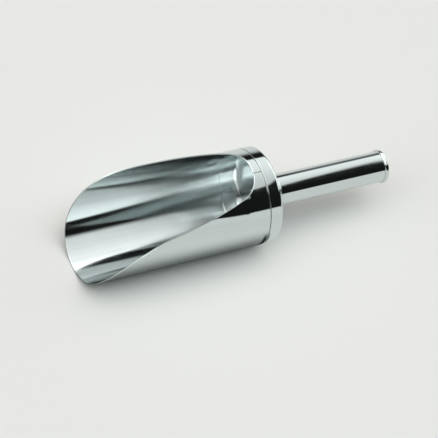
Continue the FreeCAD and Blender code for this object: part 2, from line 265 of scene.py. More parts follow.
def new_material(name: str) -> tuple[bpy.types.Material, bpy.types.Node]:
    """Make an empty node material.

    Args:
        name: Name of the material.

    Returns:
        The material and its Principled shader, linked to the output.
    """
    material = bpy.data.materials.new(name)
    material.use_nodes = True
    tree = material.node_tree
    tree.nodes.clear()
    shader = add_node(tree, "ShaderNodeBsdfPrincipled")
    add_node(tree, "ShaderNodeOutputMaterial", inputs={"Surface": shader.outputs["BSDF"]})
    return material, shader


# ---------------------------------------------------------------- places


@dataclass(frozen=True)
class Span:
    """Where a turned CAD node lies along the axis, in millimetres."""

    front: float
    rear: float
    outer: float

    @classmethod
    def of(cls, node: str) -> "Span":
        """Read the span from the node's box.

        Args:
            node: Name of the CAD node.

        Returns:
            Its front and rear ends and its outer radius.
        """
        low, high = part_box(node)
        return cls(low.x / MM, high.x / MM, (high.z - low.z) / (2 * MM))


SHELL_SPAN = Span.of("scoop_shell")
CAP_SPAN = Span.of("end_cap")
COLLAR_SPAN = Span.of("handle_collar")
TUBE_SPAN = Span.of("handle_tube")
PLUG_SPAN = Span.of("end_plug")
CAP_SHOULDER = Span.of("joint_seal").rear
AXIS_HEIGHT = CAP_SPAN.outer


def on_axis(along: float, across: float, up: float) -> Vector:
    """Turn a place about the scoop's axis into one in the frame.

    Args:
        along: Distance along the axis in millimetres.
        across: Distance across it in millimetres.
        up: Height above it in millimetres.

    Returns:
        The place in metres.
    """
    return Vector((along, across, up + AXIS_HEIGHT)) * MM


def deselect_everything() -> None:
    """Leave object mode with nothing selected."""
    if bpy.context.object and bpy.context.object.mode != "OBJECT":
        bpy.ops.object.mode_set(mode="OBJECT")
    bpy.ops.object.select_all(action="DESELECT")


def apply_modifiers(piece: bpy.types.Object) -> None:
    """Apply every modifier of a piece in order.

    Args:
        piece: Piece whose mesh takes the modifiers.
    """
    bpy.context.view_layer.objects.active = piece
    for name in [modifier.name for modifier in piece.modifiers]:
        bpy.ops.object.modifier_apply(modifier=name)


def level_normals(piece: bpy.types.Object, crease_degrees: float) -> None:
    """Shade a piece smooth, with the normals of its rounded edges led by the large faces.

    Args:
        piece: Piece to shade.
        crease_degrees: Angle in degrees past which an edge stays sharp.
    """
    deselect_everything()
    piece.select_set(True)
    bpy.context.view_layer.objects.active = piece
    bpy.ops.object.shade_smooth_by_angle(angle=math.radians(crease_degrees))
    weighted = piece.modifiers.new("weighted", "WEIGHTED_NORMAL")
    weighted.mode = "FACE_AREA"
    weighted.keep_sharp = True
    apply_modifiers(piece)


def stand_for(piece: bpy.types.Object, slot: str, *nodes: str) -> bpy.types.Object:
    """Let a finished piece ride with the scoop in place of its CAD nodes.

    Args:
        piece: Finished piece.
        slot: Name of its material slot; not used.
        nodes: Names of the CAD nodes that it replaces.

    Returns:
        The same piece.
    """
    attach(piece, "root")
    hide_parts(*nodes)
    LOG.info("%s: %d faces, for %s", piece.name, len(piece.data.polygons), ", ".join(nodes))
    return piece


# ---------------------------------------------------------------- finishes

# Grain of the broad clouds on steel, and the detail of each pattern.
CLOUD_MM = 18.0
CLOUD_DETAIL = 3.0
LINE_DETAIL = 4.0
MOULDED_DETAIL = 5.0
# The product of lines and clouds keeps to about these levels.
BLEND_RANGE = (0.1, 0.45)
# Over these distances in front of the body's rear edge the satin inside grows coarser.
DEEP_START = 85.0
DEEP_END = 45.0


class Grain(Enum):
    """Direction of the fine polishing lines, as stretch of the pattern along X, Y and Z."""

    LENGTHWISE = (0.02, 1.0, 1.0)
    ROUND = (1.0, 0.03, 0.03)
    EVEN = (1.0, 1.0, 1.0)


@dataclass(frozen=True)
class SteelFinish:
    """Stainless steel: cool grey metal whose look comes from how it was polished."""

    name: str
    slot: str
    colour: str
    worn_colour: str
    roughness: float
    roughness_swing: float
    grain: Grain
    line_mm: float
    bump_mm: float
    anisotropy: float = 0.0
    smear_turn: float = 0.0
    deep_roughness: float = 0.0

    def build(self) -> bpy.types.Material:
        """Make the steel's node material.

        Returns:
            The material, patterned on object coordinates.
        """
        material, shader = new_material(self.name)
        tree = material.node_tree
        place = add_node(tree, "ShaderNodeTexCoord").outputs["Object"]
        stretch = {"Vector": place, "Scale": self.grain.value}
        stretched = add_node(tree, "ShaderNodeMapping", inputs=stretch).outputs["Vector"]
        # Fine lines of the polishing belt, spaced as the real grit leaves them.
        lines = add_noise(tree, stretched, self.line_mm, LINE_DETAIL)
        # Broad faint clouds where the sheet was handled and wiped.
        clouds = add_noise(tree, place, CLOUD_MM, CLOUD_DETAIL)
        blend = add_maths(tree, "MULTIPLY", lines, clouds)
        finest = self.roughness - self.roughness_swing
        coarsest = self.roughness + self.roughness_swing
        rough = add_step(tree, blend, *BLEND_RANGE, finest, coarsest, Ramp.STRAIGHT)
        # A polishing wheel reaches the lip better than the depth of the bowl.
        along = add_node(tree, "ShaderNodeSeparateXYZ", inputs={"Vector": place}).outputs["X"]
        deep = [(SHELL_SPAN.rear - gone) * MM for gone in (DEEP_START, DEEP_END)]
        deeper = add_step(tree, along, *deep, 0.0, self.deep_roughness)
        look = {
            "Base Color": add_tint(tree, blend, linear(self.colour), linear(self.worn_colour)),
            "Roughness": add_maths(tree, "ADD", rough, deeper),
            "Normal": add_bump(tree, lines, self.bump_mm),
            "Metallic": 1.0,
            "Anisotropic": self.anisotropy,
            "Anisotropic Rotation": self.smear_turn,
        }
        if self.anisotropy > 0:
            around = add_node(tree, "ShaderNodeTangent", {"direction_type": "RADIAL", "axis": "X"})
            look["Tangent"] = around.outputs["Tangent"]
        set_inputs(tree, shader, look)
        return material


@dataclass(frozen=True)
class SoftFinish:
    """Rubber or nylon: a moulded, slightly mottled dielectric."""

    name: str
    slot: str
    colour: str
    light_colour: str
    roughness: float
    grain_mm: float
    bump_mm: float
    roughness_swing: float = 0.08

    def build(self) -> bpy.types.Material:
        """Make the moulded material.

        Returns:
            The material, patterned on object coordinates.
        """
        material, shader = new_material(self.name)
        tree = material.node_tree
        place = add_node(tree, "ShaderNodeTexCoord").outputs["Object"]
        grain = add_noise(tree, place, self.grain_mm, MOULDED_DETAIL)
        finest = self.roughness - self.roughness_swing
        coarsest = self.roughness + self.roughness_swing
        look = {
            "Base Color": add_tint(tree, grain, linear(self.colour), linear(self.light_colour)),
            "Roughness": add_step(tree, grain, 0.0, 1.0, finest, coarsest, Ramp.STRAIGHT),
            "Normal": add_bump(tree, grain, self.bump_mm),
        }
        set_inputs(tree, shader, look)
        return material


MIRROR_SHEET = SteelFinish(
    name="mirror_polished_sheet",
    slot="polished_steel",
    colour="D3DBDA",
    worn_colour="C9D2D1",
    roughness=0.035,
    roughness_swing=0.015,
    grain=Grain.LENGTHWISE,
    line_mm=0.5,
    bump_mm=0.0004,
)
SATIN_SHEET = SteelFinish(
    name="satin_polished_sheet",
    slot="polished_steel",
    colour="CBD1D1",
    worn_colour="BFC5C5",
    roughness=0.10,
    roughness_swing=0.03,
    grain=Grain.LENGTHWISE,
    line_mm=0.6,
    bump_mm=0.0003,
    anisotropy=1.0,
    smear_turn=0.25,
    deep_roughness=0.08,
)
RIM_STEEL = SteelFinish(
    name="deburred_rim",
    slot="polished_steel",
    colour="ABB2B1",
    worn_colour="989F9E",
    roughness=0.42,
    roughness_swing=0.08,
    grain=Grain.EVEN,
    line_mm=0.8,
    bump_mm=0.001,
)
MIRROR_TURNED = SteelFinish(
    name="mirror_polished_turning",
    slot="handle_steel",
    colour="D3DBDA",
    worn_colour="C9D2D1",
    roughness=0.05,
    roughness_swing=0.02,
    grain=Grain.ROUND,
    line_mm=0.4,
    bump_mm=0.0004,
)
WELD_STEEL = SteelFinish(
    name="ground_weld",
    slot="weld_steel",
    colour="6E7675",
    worn_colour="5C6463",
    roughness=0.4,
    roughness_swing=0.08,
    grain=Grain.LENGTHWISE,
    line_mm=0.3,
    bump_mm=0.004,
)
SCREW_STEEL = SteelFinish(
    name="plain_fastener_steel",
    slot="screw_steel",
    colour="C6CCCC",
    worn_colour="B2B9B9",
    roughness=0.22,
    roughness_swing=0.06,
    grain=Grain.EVEN,
    line_mm=0.8,
    bump_mm=0.002,
)
SEAL_RUBBER = SoftFinish(
    name="dark_seal_rubber",
    slot="dark_seal",
    colour="141515",
    light_colour="1E1F1F",
    roughness=0.55,
    grain_mm=0.5,
    bump_mm=0.01,
)
NYLON = SoftFinish(
    name="natural_nylon",
    slot="clear_nylon",
    colour="D5D5CD",
    light_colour="E0E0D9",
    roughness=0.45,
    grain_mm=0.8,
    bump_mm=0.004,
)


# ---------------------------------------------------------------- turned pieces


@dataclass
class TurnedPiece:
    """A piece turned about the scoop's axis from a closed outline with rounded corners.

    Each corner is a place along the axis, a distance from it and a rounding. Where there is an
    inner finish, the faces in front of inner_before and closer to the axis than inner_within
    take it.
    """

    name: str
    node: str
    finish: SteelFinish
    corners: Sequence[Corner]
    closed: bool = True
    steps: int = 256
    round_segments: int = 6
    crease_degrees: float = 35.0
    inner_finish: SteelFinish | None = None
    inner_before: float = 0.0
    inner_within: float = 0.0

    def build(self) -> bpy.types.Object:
        """Draw the outline, round its corners and spin it.

        Returns:
            The finished piece.
        """
        deselect_everything()
        bpy.ops.mesh.primitive_circle_add(vertices=len(self.corners), fill_type="NOTHING")
        piece = bpy.context.object
        piece.name = piece.data.name = self.name
        for vertex, (along, radius, _) in zip(piece.data.vertices, self.corners):
            vertex.co = on_axis(along, 0, radius)
        bpy.ops.object.mode_set(mode="EDIT")
        self._round_corners(piece)
        if not self.closed:
            self._open_at_axis(piece)
        bpy.ops.mesh.select_all(action="SELECT")
        centre = on_axis(0, 0, 0)
        bpy.ops.mesh.spin(steps=self.steps, angle=FULL_TURN, center=centre, axis=(1, 0, 0))
        bpy.ops.mesh.select_all(action="SELECT")
        bpy.ops.mesh.remove_doubles(threshold=MERGE_DISTANCE)
        bpy.ops.mesh.select_all(action="SELECT")
        bpy.ops.mesh.normals_make_consistent(inside=False)
        bpy.ops.object.mode_set(mode="OBJECT")
        piece.data.materials.append(self.finish.build())
        if self.inner_finish:
            self._dress_inside(piece)
        level_normals(piece, self.crease_degrees)
        return stand_for(piece, self.finish.slot, self.node)

    def _round_corners(self, piece: bpy.types.Object) -> None:
        """Bevel each corner of the outline that has a rounding.

        Args:
            piece: Outline in edit mode.
        """
        for along, radius, rounding in self.corners:
            if rounding <= SHARP:
                continue
            bpy.ops.mesh.select_all(action="DESELECT")
            mesh = bmesh.from_edit_mesh(piece.data)
            corner = on_axis(along, 0, radius)
            nearest = min(mesh.verts, key=lambda vertex: (vertex.co - corner).length)
            nearest.select_set(True)
            bmesh.update_edit_mesh(piece.data)
            bpy.ops.mesh.bevel(
                offset=rounding * MM,
                segments=self.round_segments,
                affect="VERTICES",
                clamp_overlap=False,
            )

    def _open_at_axis(self, piece: bpy.types.Object) -> None:
        """Delete the outline's line on the axis, which a solid piece doesn't spin.

        Args:
            piece: Outline in edit mode.
        """
        mesh = bmesh.from_edit_mesh(piece.data)
        on_line = [e for e in mesh.edges if all(self._touches_axis(v) for v in e.verts)]
        bmesh.ops.delete(mesh, geom=on_line, context="EDGES_FACES")
        bmesh.update_edit_mesh(piece.data)

    def _touches_axis(self, vertex: bmesh.types.BMVert) -> bool:
        """Say whether a vertex of the outline lies on the axis."""
        return (vertex.co - on_axis(vertex.co.x / MM, 0, 0)).length < MERGE_DISTANCE

    def _dress_inside(self, piece: bpy.types.Object) -> None:
        """Give the faces of the hollow their own finish.

        Args:
            piece: Spun piece in object mode.
        """
        piece.data.materials.append(self.inner_finish.build())
        for face in piece.data.polygons:
            along = face.center.x / MM
            reach = (face.center - on_axis(along, 0, 0)).length / MM
            if along < self.inner_before and reach < self.inner_within:
                face.material_index = 1


@dataclass(frozen=True)
class EndCap:
    """Deep drawn cap: side flush with the body, flat end wall, and a spigot inside the body."""

    wall: float = 1.2
    side: float = 1.85
    spigot_inset: float = 1.05
    hole: float = 3.3
    outer_round: float = 2.2
    inner_round: float = 5.0
    joint_round: float = 0.22
    mouth_round: float = 0.3
    edge_round: float = 0.2
    satin_margin: float = 0.1

    def build(self) -> bpy.types.Object:
        """Turn the cap, mirror polished outside and satin inside.

        Returns:
            The finished cap.
        """
        front, rear, outer = CAP_SPAN.front, CAP_SPAN.rear, CAP_SPAN.outer
        spigot = outer - self.spigot_inset
        inner = outer - self.side
        corners = (
            (rear - self.wall, self.hole, self.edge_round),
            (rear, self.hole, SHARP),
            (rear, outer, self.outer_round),
            (CAP_SHOULDER, outer, self.joint_round),
            (CAP_SHOULDER, spigot, SHARP),
            (front, spigot, self.edge_round),
            (front, inner, self.mouth_round),
            (rear - self.wall, inner, self.inner_round),
        )
        cap = TurnedPiece(
            "drawn_end_cap",
            "end_cap",
            MIRROR_SHEET,
            corners,
            round_segments=10,
            inner_finish=SATIN_SHEET,
            inner_before=rear - self.wall / 2,
            inner_within=spigot - self.satin_margin,
        )
        return cap.build()


@dataclass(frozen=True)
class Handle:
    """Collar against the cap, a plain tube, and a plug that closes its end.

    The collar and the plug each reach into the tube with a hollow insert.
    """

    tube_bore: float = 10.5
    insert: float = 10.45
    insert_bore: float = 7.05
    thread: float = 3.05
    shoulder_round: float = 1.2
    insert_round: float = 0.4
    collar_round: float = 0.3
    tube_round: float = 0.2

    def collar(self) -> TurnedPiece:
        """Shape the collar, bored for the screw's thread.

        Returns:
            The collar, ready to build.
        """
        front, outer, shoulder = COLLAR_SPAN.front, COLLAR_SPAN.outer, TUBE_SPAN.front
        corners = (
            (front, self.thread, SHARP),
            (front, outer, self.collar_round),
            (shoulder, outer, self.shoulder_round),
            (shoulder, self.insert, SHARP),
            (COLLAR_SPAN.rear, self.insert, self.insert_round),
            (COLLAR_SPAN.rear, self.insert_bore, SHARP),
            (shoulder, self.insert_bore, SHARP),
            (shoulder, self.thread, SHARP),
        )
        return TurnedPiece("turned_collar", "handle_collar", MIRROR_TURNED, corners)

    def tube(self) -> TurnedPiece:
        """Shape the tube.

        Returns:
            The tube, ready to build.
        """
        front, rear, outer = TUBE_SPAN.front, TUBE_SPAN.rear, TUBE_SPAN.outer
        corners = (
            (front, self.tube_bore, SHARP),
            (front, outer, self.tube_round),
            (rear, outer, self.tube_round),
            (rear, self.tube_bore, SHARP),
        )
        return TurnedPiece("polished_tube", "handle_tube", MIRROR_TURNED, corners)

    def plug(self) -> TurnedPiece:
        """Shape the end plug, which is solid behind the tube.

        Returns:
            The plug, ready to build.
        """
        shoulder, outer = TUBE_SPAN.rear, PLUG_SPAN.outer
        corners = (
            (shoulder, 0.0, SHARP),
            (shoulder, self.insert_bore, SHARP),
            (PLUG_SPAN.front, self.insert_bore, SHARP),
            (PLUG_SPAN.front, self.insert, self.insert_round),
            (shoulder, self.insert, SHARP),
            (shoulder, outer, self.shoulder_round),
            (PLUG_SPAN.rear, outer, self.shoulder_round),
            (PLUG_SPAN.rear, 0.0, SHARP),
        )
        return TurnedPiece("rounded_end_plug", "end_plug", MIRROR_TURNED, corners, closed=False)

    def build(self) -> None:
        """Turn the three pieces from the cap outwards."""
        for piece in (self.collar(), self.tube(), self.plug()):
            piece.build()


# ---------------------------------------------------------------- body sheet


@dataclass(frozen=True)
class RimWalk:
    """Stations and angles along the rim, with the length walked up to each."""

    stations: Sequence[Pair]
    walked: Sequence[float]

    def at(self, share: float) -> Pair:
        """Read the rim's place after a share of its length.

        Args:
            share: Share of the whole walk, from 0 to 1.

        Returns:
            Station in millimetres and angle from the bottom.
        """
        goal = share * self.walked[-1]
        low, high = 0, len(self.walked) - 1
        while high - low > 1:
            middle = (low + high) // 2
            low, high = (middle, high) if self.walked[middle] <= goal else (low, middle)
        part = (goal - self.walked[low]) / (self.walked[high] - self.walked[low])
        return tuple(a + (b - a) * part for a, b in zip(self.stations[low], self.stations[high]))


@dataclass
class BodySheet:
    """Rolled sheet body: round at the rear, walls opening out to a slanted, rounded mouth.

    A station is a distance along the axis from the rear joint, negative towards the mouth. An
    angle is taken about the axis from the bottom. The rim, seen from the side, is a straight
    slope between two circles: one curves up to the strap and one down to the lip.
    """

    # The keel is the bottom, which keeps the round radius while the side walls open out.
    length: float = SHELL_SPAN.rear - SHELL_SPAN.front
    radius: float = AXIS_HEIGHT
    round_length: float = 10.5
    easing: float = 8.0
    keel_degrees: float = 55.7
    lip_side_radius: float = 49.2
    # The strap's length at the top, and the rim's two circles and two heights over the axis.
    strap: float = 5.9
    back_radius: float = 20.2
    front_radius: float = 64.2
    rim_back: float = 31.1
    rim_front: float = 10.4
    # The sheet itself.
    thickness: float = 1.0
    rim_round: float = 0.3
    rim_segments: int = 3
    rim_corner_degrees: float = 50.0
    crease_degrees: float = 40.0
    # The mesh is two grids. They meet at block_join, and the lip starts at the shoulder.
    block_join: float = 12.0
    shoulder_degrees: float = 48.0
    columns: int = 168
    top_columns: int = 18
    rear_rows: int = 14
    bowl_rows: int = 150
    rim_samples: int = 3000
    # Worked out from the sizes above.
    lean: float = field(init=False)
    slope: float = field(init=False)
    keel: float = field(init=False)
    shoulder: float = field(init=False)
    join_angle: float = field(init=False)
    back_touch: Vector = field(init=False)
    back_centre: Vector = field(init=False)
    front_touch: Vector = field(init=False)
    front_centre: Vector = field(init=False)
    rim_walk: RimWalk = field(init=False)

    def __post_init__(self) -> None:
        """Find the circles of the mouth and walk the rim."""
        self.lean = math.atan2(self.rim_back - self.rim_front, self.length)
        self.slope = math.tan(self.lean)
        strap_top = Vector((-self.strap, self.radius))
        lip = Vector((-self.length, -self.radius))
        self.back_touch, self.back_centre = self._touch_circle(self.back_radius, strap_top, 1)
        self.front_touch, self.front_centre = self._touch_circle(-self.front_radius, lip, -1)
        self.keel = math.radians(self.keel_degrees)
        self.join_angle = self.rim_angle(-self.block_join)
        self.shoulder = math.radians(self.shoulder_degrees)
        self.rim_walk = self._walk_rim()

    def _touch_circle(self, radius: float, target: Vector, side: int) -> tuple[Vector, Vector]:
        """Find the circle that touches the rim's straight slope and passes through a point.

        Args:
            radius: Its radius, negative for a circle below the slope.
            target: Station and height of the point that it passes through.
            side: 1 for the circle nearer to the mouth, -1 for the one nearer to the strap.

        Returns:
            Where it touches the slope, and its centre.
        """
        forward = Vector((-math.cos(self.lean), -math.sin(self.lean)))
        upward = Vector((-math.sin(self.lean), math.cos(self.lean)))
        start = Vector((0.0, self.rim_back))
        reach = start + upward * radius - target
        along = reach.dot(forward)
        gone = -along + side * math.sqrt(along**2 - reach.dot(reach) + radius**2)
        contact = start + forward * gone
        return contact, contact + upward * radius

    def side_radius(self, along: float) -> float:
        """Find the radius of the side walls, which is eased in from the round part.

        Args:
            along: Station in millimetres.

        Returns:
            The radius in millimetres.
        """
        gone = -self.round_length - along
        if gone <= 0:
            return self.radius
        reach = self.length - self.round_length - self.easing / 2
        eased = gone**2 / (2 * self.easing) if gone < self.easing else gone - self.easing / 2
        return self.radius + (self.lip_side_radius - self.radius) * eased / reach

    def surface(self, along: float, angle: float) -> Vector:
        """Find a place on the outer surface, whose side walls start at the keel's edges.

        Args:
            along: Station in millimetres.
            angle: Angle from the bottom.

        Returns:
            The place in metres.
        """
        wall = self.side_radius(along) if abs(angle) > self.keel else self.radius
        shift = self.radius - wall
        across = math.copysign(1.0, angle) * shift * math.sin(self.keel) + wall * math.sin(angle)
        up = -shift * math.cos(self.keel) - wall * math.cos(angle)
        return on_axis(SHELL_SPAN.rear + along, across, up)

    def rim_height(self, along: float) -> float:
        """Find the height of the rim above the axis.

        Args:
            along: Station in millimetres.

        Returns:
            The height in millimetres.
        """
        if along > self.back_touch.x:
            gone = along - self.back_centre.x
            return self.back_centre.y - math.sqrt(self.back_radius**2 - gone**2)
        if along > self.front_touch.x:
            return self.rim_back + self.slope * along
        gone = along - self.front_centre.x
        return self.front_centre.y + math.sqrt(self.front_radius**2 - gone**2)

    def rim_angle(self, along: float) -> float:
        """Find the angle of the rim from the bottom.

        Args:
            along: Station in millimetres.

        Returns:
            The angle on the keel or, past its edge, on the side wall.
        """
        height = self.rim_height(along)
        on_bottom = math.acos(max(-1.0, min(1.0, -height / self.radius)))
        if on_bottom <= self.keel:
            return on_bottom
        wall = self.side_radius(along)
        cosine = -(height + (self.radius - wall) * math.cos(self.keel)) / wall
        return math.acos(max(-1.0, min(1.0, cosine)))

    def strap_edge(self, angle: float) -> float:
        """Find the front edge of the strap.

        Args:
            angle: Angle from the bottom, near the top.

        Returns:
            Station in millimetres.
        """
        up = -self.radius * math.cos(angle)
        return self.back_centre.x + math.sqrt(self.back_radius**2 - (self.back_centre.y - up) ** 2)

    def lip_edge(self, angle: float) -> float:
        """Find the edge of the lip.

        Args:
            angle: Angle from the bottom, on the keel.

        Returns:
            Station in millimetres.
        """
        up = -self.radius * math.cos(angle)
        return self.front_centre.x - math.sqrt(
            self.front_radius**2 - (up - self.front_centre.y) ** 2
        )

    def _walk_rim(self) -> RimWalk:
        """Walk the rim from the block join to the shoulder, with finer steps near the lip.

        Returns:
            The walk, which can be read at an even pace.
        """
        last = self.lip_edge(self.shoulder)
        stations = []
        for index in range(self.rim_samples + 1):
            share = math.sin(index / self.rim_samples * math.pi / 2)
            along = -self.block_join + (last + self.block_join) * share
            stations.append((along, self.rim_angle(along)))
        stations[-1] = (last, self.shoulder)
        walked = [0.0]
        for (x0, a0), (x1, a1) in zip(stations, stations[1:]):
            walked.append(walked[-1] + math.hypot(x1 - x0, self.radius * (a1 - a0)))
        return RimWalk(stations, walked)

    def _rear_angle(self, column: float) -> float:
        """Find the angle of a column of the rear block.

        The columns below the join follow the bowl's own, and the rest close the top.

        Args:
            column: Share of the way around, from -1 to 1.

        Returns:
            The angle from the bottom.
        """
        total = self.columns / 2 + self.top_columns
        index = abs(column) * total
        if index <= self.columns / 2:
            angle = self.join_angle * index / (self.columns / 2)
        else:
            part = (index - self.columns / 2) / self.top_columns
            angle = self.join_angle + (math.pi - self.join_angle) * part
        return math.copysign(angle, column)

    def rear_block(self, row: float, column: float) -> Vector:
        """Place a grid point of the closed rear end.

        Args:
            row: Share of the way from the rear joint to the front edge.
            column: Share of the way around, from -1 to 1.

        Returns:
            The place in metres.
        """
        angle = self._rear_angle(column)
        below_rim = abs(angle) <= self.join_angle + ANGLE_SLACK
        front = -self.block_join if below_rim else self.strap_edge(angle)
        return self.surface(row * front, angle)

    def bowl_block(self, row: float, column: float) -> Vector:
        """Place a grid point of the open bowl, spread between its four edges.

        Args:
            row: Share of the way from the rear block to the lip.
            column: Share of the way around, from -1 to 1.

        Returns:
            The place in metres.
        """
        share = (column + 1) / 2
        last = self.lip_edge(self.shoulder)
        side_along, side_angle = self.rim_walk.at(row)
        lip_angle = self.shoulder * column
        rear = (-self.block_join, self.join_angle * column)
        lip = (self.lip_edge(lip_angle), lip_angle)
        near, far = (side_along, -side_angle), (side_along, side_angle)
        rear_near = (-self.block_join, -self.join_angle)
        rear_far = (-self.block_join, self.join_angle)
        lip_near, lip_far = (last, -self.shoulder), (last, self.shoulder)
        along, angle = (
            (1 - share) * near[i]
            + share * far[i]
            + (1 - row) * rear[i]
            + row * lip[i]
            - (1 - row) * ((1 - share) * rear_near[i] + share * rear_far[i])
            - row * ((1 - share) * lip_near[i] + share * lip_far[i])
            for i in (0, 1)
        )
        return self.surface(along, angle)

    def _grid(
        self, rows: int, columns: int, place: Callable[[float, float], Vector]
    ) -> bpy.types.Object:
        """Add a grid primitive and bend it onto the sheet.

        Args:
            rows: Number of faces along the axis.
            columns: Number of faces around it.
            place: Gives a point's place from its row share and column share.

        Returns:
            The bent grid.
        """
        deselect_everything()
        bpy.ops.mesh.primitive_grid_add(x_subdivisions=rows, y_subdivisions=columns, size=2.0)
        grid = bpy.context.object
        for vertex in grid.data.vertices:
            row = round((vertex.co.x + 1) / 2 * rows) / rows
            column = round((vertex.co.y + 1) / 2 * columns) / columns * 2 - 1
            vertex.co = place(row, column)
        return grid

    def _face_outwards(self, sheet: bpy.types.Object) -> None:
        """Turn the sheet's faces away from the axis if they look inwards.

        Args:
            sheet: Bent sheet, before it has a thickness.
        """
        lowest = min(sheet.data.polygons, key=lambda face: face.center.z)
        if lowest.normal.z > 0:
            sheet.data.flip_normals()

    def _thicken(self, sheet: bpy.types.Object) -> None:
        """Give the sheet its thickness inwards, and round the edges of its rim.

        Args:
            sheet: Bent sheet with its outer, inner and rim finishes in that order.
        """
        wall = sheet.modifiers.new("wall", "SOLIDIFY")
        wall.thickness = self.thickness * MM
        wall.offset = -1.0
        wall.use_even_offset = True
        wall.use_rim = True
        wall.material_offset = 1
        wall.material_offset_rim = 2
        soft = sheet.modifiers.new("rim", "BEVEL")
        soft.width = self.rim_round * MM
        soft.segments = self.rim_segments
        soft.limit_method = "ANGLE"
        soft.angle_limit = math.radians(self.rim_corner_degrees)
        soft.use_clamp_overlap = False
        apply_modifiers(sheet)

    def build(self) -> bpy.types.Object:
        """Bend two grids, join them and give the sheet its thickness and rounded rim.

        Returns:
            The finished body.
        """
        rear = self._grid(self.rear_rows, self.columns + 2 * self.top_columns, self.rear_block)
        bowl = self._grid(self.bowl_rows, self.columns, self.bowl_block)
        deselect_everything()
        rear.select_set(True)
        bowl.select_set(True)
        bpy.context.view_layer.objects.active = rear
        bpy.ops.object.join()
        sheet = bpy.context.object
        sheet.name = sheet.data.name = "rolled_body_sheet"
        bpy.ops.object.mode_set(mode="EDIT")
        bpy.ops.mesh.select_all(action="SELECT")
        bpy.ops.mesh.remove_doubles(threshold=JOIN_DISTANCE)
        bpy.ops.mesh.select_all(action="SELECT")
        bpy.ops.mesh.normals_make_consistent(inside=False)
        bpy.ops.object.mode_set(mode="OBJECT")
        self._face_outwards(sheet)
        for finish in (MIRROR_SHEET, SATIN_SHEET, RIM_STEEL):
            sheet.data.materials.append(finish.build())
        self._thicken(sheet)
        level_normals(sheet, self.crease_degrees)
        return stand_for(sheet, MIRROR_SHEET.slot, "scoop_shell")


@dataclass(frozen=True)
class SeamLine:
    """Ground weld that shows as a hairline across the strap, a little to the near side."""

    degrees: float = 10.0
    width: float = 0.6
    length: float = 6.37
    sunk: float = 0.4
    proud: float = 0.006

    def build(self) -> bpy.types.Object:
        """Make the narrow bead, all but flush with the sheet.

        Returns:
            The finished bead.
        """
        deselect_everything()
        bpy.ops.mesh.primitive_cube_add(size=1.0)
        bead = bpy.context.object
        bead.name = bead.data.name = "ground_seam"
        turn = Matrix.Rotation(math.radians(self.degrees), 3, "X")
        inner, outer = AXIS_HEIGHT - self.sunk, AXIS_HEIGHT + self.proud
        middle, depth = (inner + outer) / 2, outer - inner
        for vertex in bead.data.vertices:
            share = vertex.co.copy()
            spot = turn @ Vector((0, share.y * self.width, middle + share.z * depth))
            along = SHELL_SPAN.rear - self.length / 2 + share.x * self.length
            vertex.co = on_axis(along, spot.y, spot.z)
        bead.data.materials.append(WELD_STEEL.build())
        return stand_for(bead, WELD_STEEL.slot, "seam_weld")


# ---------------------------------------------------------------- carried-over nodes

# CAD nodes that keep their meshes, and the finish of each.
CARRIED = {
    "joint_seal": SEAL_RUBBER,
    "collar_gasket": SEAL_RUBBER,
    "tube_o_rings": SEAL_RUBBER,
    "handle_screw": SCREW_STEEL,
    "lock_washer": SCREW_STEEL,
    "flat_washer": SCREW_STEEL,
    "sealing_washer": NYLON,
}


def dress_carried_nodes() -> None:
    """Give each CAD node that stays its own finish."""
    built = {}
    for node, finish in CARRIED.items():
        if finish.name not in built:
            built[finish.name] = finish.build()
        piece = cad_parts[node]
        piece.data.materials.clear()
        piece.data.materials.append(built[finish.name])
        LOG.info("%s: carried over in %s", node, finish.name)


# ---------------------------------------------------------------- studio


@dataclass(frozen=True)
class StudioCamera:
    """Long lens that looks down into the bowl from the near side, in degrees and metres."""

    azimuth: float = 38.256
    elevation: float = 47.889
    roll: float = 17.268
    distance: float = 1.28298
    sensor_mm: float = 36.0
    lens_mm: float = 148.61918
    shift_x: float = -0.0655342
    shift_y: float = -0.0508402
    nearest: float = 0.01
    farthest: float = 100.0

    def build(self) -> None:
        """Place the camera and its small shift."""
        turn, rise, roll = (math.radians(v) for v in (self.azimuth, self.elevation, self.roll))
        reach = math.cos(rise)
        back = Vector((-math.sin(turn) * reach, -math.cos(turn) * reach, math.sin(rise)))
        level = Vector((math.cos(turn), -math.sin(turn), 0.0))
        upright = back.cross(level)
        right = level * math.cos(roll) + upright * math.sin(roll)
        up = upright * math.cos(roll) - level * math.sin(roll)
        data = bpy.data.cameras.new("camera")
        camera = bpy.data.objects.new("camera", data)
        bpy.context.scene.collection.objects.link(camera)
        facing = Matrix((right, up, back)).transposed().to_4x4()
        target = on_axis(SHELL_SPAN.rear, 0, 0)
        camera.matrix_world = Matrix.Translation(target + back * self.distance) @ facing
        data.sensor_width = self.sensor_mm
        data.lens = self.lens_mm
        data.shift_x = self.shift_x
        data.shift_y = self.shift_y
        data.clip_start = self.nearest
        data.clip_end = self.farthest
        bpy.context.scene.camera = camera


